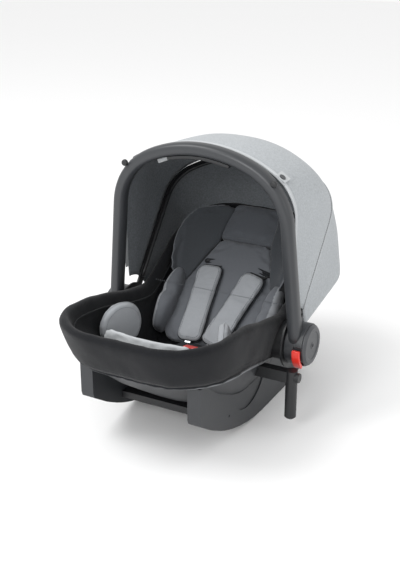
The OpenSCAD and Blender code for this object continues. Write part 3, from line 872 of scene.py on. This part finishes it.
def bolster(name, sections, finish):
    """Closed sections of equal count joined, the end ones drawn together."""
    first, last = (sum(s, Vector()) / len(s) for s in (sections[0], sections[-1]))
    ends = [[mix(c, p, 0.35) for p in s] for c, s in ((first, sections[0]), (last, sections[-1]))]
    return loft(name, [ends[0]] + sections + [ends[1]], finish)


def oval(centre, a, b, count=24, power=0.75):
    """A soft square section: centre plus two half axes."""
    ring = []
    for k in range(count):
        c, s = math.cos(2 * math.pi * k / count), math.sin(2 * math.pi * k / count)
        ring.append(centre + a * math.copysign(abs(c) ** power, c) + b * math.copysign(abs(s) ** power, s))
    return ring


# %% Flat pads: seat, backrest, head panel
PADS = []    # (object, seam path or None, slot, nodes, finish of the seam)
seat_pad, path = flat_pad("seat_pad_cloth", rounded_outline(102, -178, -5, 32, 4), -19, 0, on_seat,
                          "insert_mid", crown=2)
PADS.append((seat_pad, path, "insert_mid", ["seat_pad"]))


def drawn_outline(half, step=7, rounds=3):
    """A symmetrical outline from the (x, v) points of its right half, evened out and rounded."""
    corners = half + [(-x, v) for x, v in reversed(half)]
    dense = []
    for a, b in zip(corners, corners[1:] + corners[:1]):
        count = max(1, int(math.hypot(b[0] - a[0], b[1] - a[1]) / step))
        dense += [(mix(a[0], b[0], i / count), mix(a[1], b[1], i / count)) for i in range(count)]
    for _ in range(rounds):
        dense = [((a[0] + 2 * b[0] + c[0]) / 4, (a[1] + 2 * b[1] + c[1]) / 4)
                 for a, b, c in zip(dense[-1:] + dense, dense, dense[1:] + dense[:1])]
    return dense


MIDDLE = [(20, 12), (88, 12), (102, 26), (104, 90), (102, 140), (92, 164), (74, 208), (60, 240), (60, 251),
          (20, 252)]
back_pad, path = flat_pad("middle_panel_cloth", drawn_outline(MIDDLE, rounds=2), -12, 7, on_back,
                          "insert_mid", crown=1.5, roll=4)
PADS.append((back_pad, path, "insert_mid", ["backrest_pad"]))
HEAD = [(20, 252), (62, 252), (62, 280), (58, 315), (53, 338), (20, 340)]
head, path = flat_pad("head_panel_cloth", drawn_outline(HEAD, rounds=1), -12, 8, on_back, "insert_head",
                      crown=3, roll=4)
PADS.append((head, path, "insert_head", ["headrest_panel"]))

# %% [markdown]
# ## Head wings
# A wing starts at the panel's edge and rises to a thick outer rim. Its outline is drawn by a few points,
# since no simple shape has the ear's turn at the top.

# %% Head wings
# Each wing follows two lines up the backrest: where it leaves the head panel, and its raised outer edge.
WING_BASE = [(-108, 118), (-98, 138), (-84, 166), (-68, 206), (-54, 248), (-53, 290), (-48, 326)]
WING_EDGE = [(-112, 132), (-124, 160), (-131, 196), (-135, 226), (-130, 266), (-114, 298), (-72, 326)]
WING_RISE = [34, 46, 52, 54, 52, 44, 22]


def spread(values, count):
    """Values resampled smoothly to a larger count."""
    t = np.linspace(0, len(values) - 1, count)
    return np.interp(t, range(len(values)), values)


def wing(side):
    count = 22
    bx, bv = spread([p[0] for p in WING_BASE], count), spread([p[1] for p in WING_BASE], count)
    ex, ev = spread([p[0] for p in WING_EDGE], count), spread([p[1] for p in WING_EDGE], count)
    rise = spread(WING_RISE, count)
    sections, edge = [], []
    for i in range(count):
        section = []
        for u in np.linspace(0, 1, 10):        # the face: concave, then a rolled edge
            w = mix(9, rise[i], u ** 1.7)
            section.append((mix(bx[i], ex[i], u * 0.94), mix(bv[i], ev[i], u * 0.94), w))
        for angle in (40, 0, -50):             # round the outer edge
            c, s = math.cos(math.radians(angle)), math.sin(math.radians(angle))
            section.append((mix(bx[i], ex[i], 0.95 + 0.05 * c), mix(bv[i], ev[i], 0.95 + 0.05 * c),
                            rise[i] - 9 + 9 * s))
        for u in np.linspace(0.92, 0.05, 8):   # the back, parallel to the face
            w = max(mix(9, rise[i], u ** 1.7) - 20, -9)
            section.append((mix(bx[i], ex[i], u), mix(bv[i], ev[i], u), w))
        sections.append([on_back(-side * x, v, w) for x, v, w in section])
        edge.append(on_back(-side * mix(bx[i], ex[i], 1.0), mix(bv[i], ev[i], 1.0), rise[i] - 5))
    return bolster(f"head_wing_cloth_{'right' if side > 0 else 'left'}", sections, "insert_dark"), edge


for side, word in ((-1, "left"), (1, "right")):
    piece, path = wing(side)
    PADS.append((piece, path, "insert_dark", [f"head_wing_{word}"]))

# %% [markdown]
# ## Side cushions and shoulder pads
# These are the small cushions that sit against the child. Each is set in its own directions, so that it
# leans with the wall or the strap that it lies on.

# %% Side bolsters, thigh discs and shoulder pads
def side_bolster(side):
    """A bolster of two lobes, pinched where its channel is sewn."""
    sections = []
    for v in np.linspace(24, 160, 24):
        swell = math.sin(math.pi * (v - 12) / 160) ** 0.3
        pinch = 1 - 0.14 * math.exp(-((v - 102) / 8) ** 2)
        half = 26 * swell * pinch
        sections.append(oval(on_back(side * 110, v, half - 8),
                             (on_back(15 * swell * pinch, 0, 0) - on_back(0, 0, 0)),
                             (on_back(0, 0, half) - on_back(0, 0, 0))))
    return bolster(f"side_bolster_{'right' if side > 0 else 'left'}", sections, "insert_light")


def thigh_disc(side):
    centre, lean = at(side * 108, -146, 30), math.radians(24)
    across = Vector((math.cos(lean), side * math.sin(lean), 0)) * MM
    along, up = Vector((-side * math.sin(lean), math.cos(lean), 0)) * MM, Vector((0, 0, 1)) * MM

    def spot(x, v, w):
        return centre + along * x + up * v + across * w * side

    circle = [(46 * math.cos(2 * math.pi * i / 44), 46 * math.sin(2 * math.pi * i / 44))
              for i in range(44)]
    return flat_pad(f"thigh_disc_{'right' if side > 0 else 'left'}", circle, -9, 9, spot, "insert_light",
                    crown=3)


def on_strap(side):
    """The directions of one shoulder strap: each lies with its own foot and lean."""
    foot, lean = (-32, math.radians(13 / 3)) if side < 0 else (16, math.radians(-13))

    def spot(x, v, w):
        return on_back(foot + x * math.cos(lean) - v * math.sin(lean),
                       8 + x * math.sin(lean) + v * math.cos(lean), w)
    return spot


SHOULDER = (3, 174)
for side, word in ((-1, "left"), (1, "right")):
    bolster_pad = side_bolster(side)
    PADS.append((bolster_pad, None, "insert_light", [f"side_pad_{word}"]))
    disc, path = thigh_disc(side)
    PADS.append((disc, path, "insert_light", [f"thigh_pad_{word}"]))
    pad, path = flat_pad(f"shoulder_pad_cloth_{word}", rounded_outline(27, *SHOULDER, 15, 1.5),
                         9, 27, on_strap(side), "insert_light", crown=2)
    PADS.append((pad, path, "insert_light", [f"shoulder_pad_{word}"]))
FLAP = [(-60, -24), (-82, -12), (-92, 20), (-100, 44), (-96, 57), (-76, 63), (-40, 64)]


def front_flap():
    """The insert's front edge: a thin padded wall that curves back towards the child at its ends."""
    def spot(x, v, w):
        return at(x, -233 + 0.0016 * x * x - 0.05 * v + w, v)
    return flat_pad("front_edge_cloth", drawn_outline([(-x, v) for x, v in FLAP]), -4, 4, spot,
                    "canopy_trim", crown=0.5, roll=4)


flap, path = front_flap()
PADS.append((flap, path, "insert_light", ["front_flap"]))
print(len(PADS), "pads drawn")

# %% [markdown]
# ## Webbing
# The straps come out of slots in the backrest and run inside the shoulder pads. Webbing is a flat weave
# with two thicker selvedges, so its section is a thin bar with beaded edges.

# %% Straps and their slots
WEB_LIFT, WEB_FROM, WEB_TO = 17.8, 14, 190
SLOT_V, SLOT_HALF_W, SLOT_HALF_H, SLOT_CORNER = 188, 23, 4, 3.9


def web(name, path_of):
    section = [(-18, -0.6), (-17.4, -1.2), (-16, -0.8), (16, -0.8), (17.4, -1.2), (18, -0.6), (18, 0.6),
               (17.4, 1.2), (16, 0.8), (-16, 0.8), (-17.4, 1.2), (-18, 0.6)]
    return loft(name, [[path_of(t, x, w) for x, w in section] for t in np.linspace(0, 1, 26)],
                "webbing")


for side, word in ((-1, "left"), (1, "right")):
    spot = on_strap(side)

    def strap_point(t, x, w, spot=spot):
        v = mix(WEB_FROM, WEB_TO, t)
        sink = 16 * ease((v - 168) / 22)
        return spot(x, v, WEB_LIFT - sink + w)
    strap = web(f"webbing_{word}", strap_point)
    place(strap, "shell", "webbing", f"harness_strap_{word}")
    slot = rounded_outline(SLOT_HALF_W, -SLOT_HALF_H, SLOT_HALF_H, SLOT_CORNER)
    rim_path = [spot(x, SLOT_V + v, 9) for x, v in slot]
    slot_rim = tube(f"strap_slot_{word}", rim_path, 0.0016, "piping", closed=True)
    place(slot_rim, "shell", "cover_fabric")
    mouth = loft(f"strap_mouth_{word}", [[spot(x, SLOT_V + v, w) for x, v in slot] for w in (6, 8.6)],
                 "piping")
    place(mouth, "shell", "cover_fabric")

# %% [markdown]
# The simulation runs on every pad at once. A pad is rebuilt as an even net of small squares first, since
# cloth folds only along its edges. Gravity is off and a low pressure acts from inside, with the seam
# held still. Movement is limited afterwards, so that no pad grows into its neighbour.

# %% Cloth simulation
VOXEL, PRESSURE, LAST_FRAME, MOST = 0.0052, 4.0, 20, 0.0032


def prepare_cloth(obj, path):
    with_modifier(obj, "REMESH", mode="VOXEL", voxel_size=VOXEL, use_smooth_shade=True)
    with_modifier(obj, "SMOOTH", factor=0.5, iterations=3)
    net = np.array([v.co for v in obj.data.vertices])
    group = obj.vertex_groups.new(name="seam")
    for i, co in enumerate(net):
        if path is not None:
            near = min((Vector(co) - p).length for p in path)
            if near < 1.2 * VOXEL:
                group.add([i], 1.0, "REPLACE")
    cloth = obj.modifiers.new("cloth", "CLOTH")
    cloth.settings.quality = 4
    cloth.settings.mass = 0.3
    cloth.settings.tension_stiffness = cloth.settings.compression_stiffness = 12
    cloth.settings.bending_stiffness = 0.4
    cloth.settings.use_pressure = True
    cloth.settings.uniform_pressure_force = PRESSURE
    cloth.settings.effector_weights.gravity = 0
    cloth.settings.shrink_min = -0.03
    cloth.settings.vertex_group_mass = "seam"
    cloth.point_cache.frame_start, cloth.point_cache.frame_end = 1, LAST_FRAME
    cloth.collision_settings.use_collision = False
    return net


def settle(obj, net):
    """Take the cloth's last shape, limit how far each point moved, and make it final."""
    shape = obj.evaluated_get(bpy.context.evaluated_depsgraph_get()).to_mesh()
    moved = np.array([v.co for v in shape.vertices]) - net
    size = np.linalg.norm(moved, axis=1, keepdims=True)
    moved *= np.minimum(1, MOST / np.maximum(size, 1e-9))
    obj.modifiers.clear()
    obj.vertex_groups.clear()
    for vertex, co in zip(obj.data.vertices, net + moved):
        vertex.co = co
    with_modifier(obj, "SMOOTH", factor=0.5, iterations=1)
    return float(size.max())


nets = [prepare_cloth(obj, path) for obj, path, *_ in PADS]
scene = bpy.context.scene
for number in range(1, LAST_FRAME + 1):
    scene.frame_set(number)
moved = [settle(obj, net) for (obj, *_), net in zip(PADS, nets)]
scene.frame_set(1)
print("cloth moved up to (mm)", [round(m * 1000, 1) for m in moved])
for obj, path, slot_name, nodes in PADS:
    with_modifier(obj, "SUBSURF", levels=1)
    obj.data.shade_smooth()
    place(obj, "shell", slot_name, *nodes)
for side, word in ((-1, "left"), (1, "right")):
    bolster_obj = bpy.data.objects[f"side_bolster_{word}"]
    bolster_obj.data.materials.append(FINISH["insert_mid"])
    for face in bolster_obj.data.polygons:
        face.material_index = int(face.normal.x * side < 0.3)
print("pads", {obj.name: len(obj.data.polygons) for obj, *_ in PADS})

# %% [markdown]
# ## Seams
# Piping is a covered cord sewn into a seam, so it is a round tube laid on the pad's surface after the
# cloth has settled. Topstitching is one Geometry Nodes group: points at a fixed pitch along a path, a
# small bead of thread on each. The result is turned into a plain mesh.

# %% A stitch row as a node group
def stitch_group():
    tree = bpy.data.node_groups.new("stitch_row", "GeometryNodeTree")
    tree.interface.new_socket("Geometry", in_out="INPUT", socket_type="NodeSocketGeometry")
    for label, value in (("Pitch", 0.0042), ("Stitch length", 0.0029), ("Thread", 0.00042)):
        socket = tree.interface.new_socket(label, in_out="INPUT", socket_type="NodeSocketFloat")
        socket.default_value = value
    tree.interface.new_socket("Material", in_out="INPUT", socket_type="NodeSocketMaterial")
    tree.interface.new_socket("Geometry", in_out="OUTPUT", socket_type="NodeSocketGeometry")
    inp, out = tree.nodes.new("NodeGroupInput"), tree.nodes.new("NodeGroupOutput")
    curve = tree.nodes.new("GeometryNodeMeshToCurve")
    points = tree.nodes.new("GeometryNodeCurveToPoints")
    points.mode = "LENGTH"
    bead = tree.nodes.new("GeometryNodeMeshUVSphere")
    bead.inputs["Segments"].default_value, bead.inputs["Rings"].default_value = 6, 5
    bead.inputs["Radius"].default_value = 1.0
    size = tree.nodes.new("ShaderNodeCombineXYZ")
    half = tree.nodes.new("ShaderNodeMath")
    half.operation = "MULTIPLY"
    half.inputs[1].default_value = 0.5
    copies = tree.nodes.new("GeometryNodeInstanceOnPoints")
    real = tree.nodes.new("GeometryNodeRealizeInstances")
    finish = tree.nodes.new("GeometryNodeSetMaterial")
    for a, b in ((inp.outputs["Geometry"], curve.inputs[0]), (curve.outputs[0], points.inputs[0]),
                 (inp.outputs["Pitch"], points.inputs["Length"]),
                 (points.outputs["Points"], copies.inputs[0]),
                 (points.outputs["Rotation"], copies.inputs["Rotation"]),
                 (bead.outputs[0], copies.inputs["Instance"]), (inp.outputs["Thread"], size.inputs["X"]),
                 (inp.outputs["Thread"], size.inputs["Y"]), (inp.outputs["Stitch length"], half.inputs[0]),
                 (half.outputs[0], size.inputs["Z"]), (size.outputs[0], copies.inputs["Scale"]),
                 (copies.outputs[0], real.inputs[0]), (real.outputs[0], finish.inputs[0]),
                 (inp.outputs["Material"], finish.inputs["Material"]), (finish.outputs[0], out.inputs[0])):
        tree.links.new(a, b)
    return tree


STITCH = stitch_group()


def stitches(name, path, body, finish="stitch", closed=True, pitch=0.0042):
    mesh = bpy.data.meshes.new(name)
    count = len(path)
    edges = [(i, (i + 1) % count) for i in range(count if closed else count - 1)]
    mesh.from_pydata([tuple(p) for p in path], edges, [])
    obj = bpy.data.objects.new(name, mesh)
    bpy.context.scene.collection.objects.link(obj)
    mod = obj.modifiers.new("stitches", "NODES")
    mod.node_group = STITCH
    sockets = {i.name: i.identifier for i in STITCH.interface.items_tree if i.in_out == "INPUT"}
    mod[sockets["Pitch"]] = pitch
    mod[sockets["Stitch length"]] = pitch * 0.7
    mod[sockets["Material"]] = FINISH[finish]
    bpy.context.view_layer.update()
    baked = bpy.data.meshes.new_from_object(obj.evaluated_get(bpy.context.evaluated_depsgraph_get()))
    obj.modifiers.clear()
    obj.data = baked
    return place(obj, body, "webbing")


def surface_of(name):
    obj = bpy.data.objects[name]
    return BVHTree.FromPolygons([v.co.copy() for v in obj.data.vertices],
                                [tuple(p.vertices) for p in obj.data.polygons])


def dropped(tree, path, along, lift=0.0002):
    """A path let down onto a surface in one direction, then raised by a hair."""
    hits = []
    for p in path:
        hit = tree.ray_cast(p - along * 0.05, along)
        if hit[0] is not None:
            hits.append(hit[0] - along * lift)
    return hits


def snapped(tree, path, lift=0.0004):
    found = []
    for p in path:
        near, normal, _, _ = tree.find_nearest(p)
        found.append(near + normal * lift)
    return found


# %% [markdown]
# ## Piping and topstitching
# A cord sewn into the seam outlines each cushion, and a row of stitches runs inside it. Both are laid on
# the puffed surface after the cloth has settled, so they follow its bulge.

# %% Piping and topstitching of the insert
INTO_BACK = (on_back(0, 0, -1) - on_back(0, 0, 0)).normalized()
for side, word in ((-1, "left"), (1, "right")):
    skin = surface_of(f"shoulder_pad_cloth_{word}")
    spot = on_strap(side)
    outline = rounded_outline(27, *SHOULDER, 15, 1.5)
    cord_path = snapped(skin, [spot(x, v, 19) for x, v in outline])
    place(tube(f"shoulder_piping_{word}", cord_path, 0.0013, "piping", closed=True), "shell", "webbing")
    inner = rounded_outline(21.5, SHOULDER[0] + 6, SHOULDER[1] - 6, 11, 1.2)
    stitches(f"shoulder_stitch_{word}", dropped(skin, [spot(x, v, 30) for x, v in inner], INTO_BACK),
             "shell", "piping")
    _, disc_seam = PADS[[o.name for o, *_ in PADS].index(f"thigh_disc_{'right' if side > 0 else 'left'}")][:2]
    disc = surface_of(f"thigh_disc_{word}")
    place(tube(f"thigh_piping_{word}", snapped(disc, disc_seam), 0.0012, "insert_light", closed=True),
          "shell", "insert_light")
    centre = sum(disc_seam, Vector()) / len(disc_seam)
    inward = Vector((math.cos(math.radians(24)) * side, math.sin(math.radians(24)), 0))
    ring = [centre + (p - centre) * 0.82 for p in disc_seam]
    stitches(f"thigh_stitch_{word}", dropped(disc, ring, inward), "shell")
    wing_skin = surface_of(f"head_wing_cloth_{word}")
    _, wing_seam = PADS[[o.name for o, *_ in PADS].index(f"head_wing_cloth_{word}")][:2]
    fine = [a.lerp(b, t) for a, b in zip(wing_seam, wing_seam[1:]) for t in (0, 0.5)] + wing_seam[-1:]
    place(tube(f"wing_piping_{word}", snapped(wing_skin, fine), 0.0014, "insert_mid"), "shell", "insert_mid")
middle_skin, head_skin = surface_of("middle_panel_cloth"), surface_of("head_panel_cloth")
for name, skin, v, reach in (("middle_stitch", middle_skin, 246, 50), ("head_stitch", head_skin, 258, 52)):
    line = [on_back(x, v, 25) for x in np.linspace(-reach, reach, 40)]
    stitches(name, dropped(skin, line, INTO_BACK), "shell", closed=False)

# %% Topstitching of the cover and canopy
hem_line = [at(*tub_place(s, from_rim(-66), 6.9 + gathered(i, 1.5))) for i, s in enumerate(ROUND)]
stitches("cover_stitch", snapped(surface_of("rim_cover"), hem_line, 0.0002), "shell", "piping", pitch=0.005)
for sign, sheet_name, body in ((-1, "canopy_front_sheet", "canopy_middle"),
                               (1, "canopy_rear_sheet", "canopy_middle")):
    line = along_canopy(BOW + sign * 0.014, 0)
    stitches(f"canopy_stitch_{'front' if sign < 0 else 'rear'}",
             snapped(surface_of(sheet_name), line, 0.0003), body, pitch=0.0046)

# %% [markdown]
# ## Handle details
# A press stud on each shoulder of the handle holds the canopy's hem, and a fabric facing shows as a pale
# strip under the top of the arch, where the hem is turned round the tube.

# %% Hem facing and press studs
facing_arch = [(x, z) for x, z in arch if abs(x) < 104 and z > 200]


def facing_ring(x, z):
    """Section of the facing, drawn in from the tube's inner edge towards the arch's middle."""
    d = math.hypot(x, z - 109)
    ux, uz = x / d, (z - 109) / d
    return [in_handle(x + ux * r, y, z + uz * r)
            for r, y in ((-10, 14.6), (-19, 13.5), (-21, 15), (-19, 16.4), (-8, 17.4), (4, 17))]


facing = loft("hem_facing", [facing_ring(x, z) for x, z in facing_arch], "canopy_trim")
place(facing, "canopy_edge", "canopy_trim")
STUD_X, STUD_Z = 153, 316
for sign, word in ((-1, "left"), (1, "right")):
    x, z = sign * STUD_X, STUD_Z
    profile = [(0.1, 17.2), (4.6, 17.2), (5.6, 16.6), (6.2, 15.2), (6.2, 12)]
    stud_rings = []
    for radius, lift in profile:
        centre = in_handle(x * 0.995, -lift, z * 0.995)
        stud_rings.append([centre + Vector((math.cos(a), 0, math.sin(a))) * (radius * MM)
                           for a in np.linspace(0, 2 * math.pi, 28, endpoint=False)])
    place(loft(f"handle_stud_{word}", stud_rings, "black_plastic"), "handle", "black_plastic")
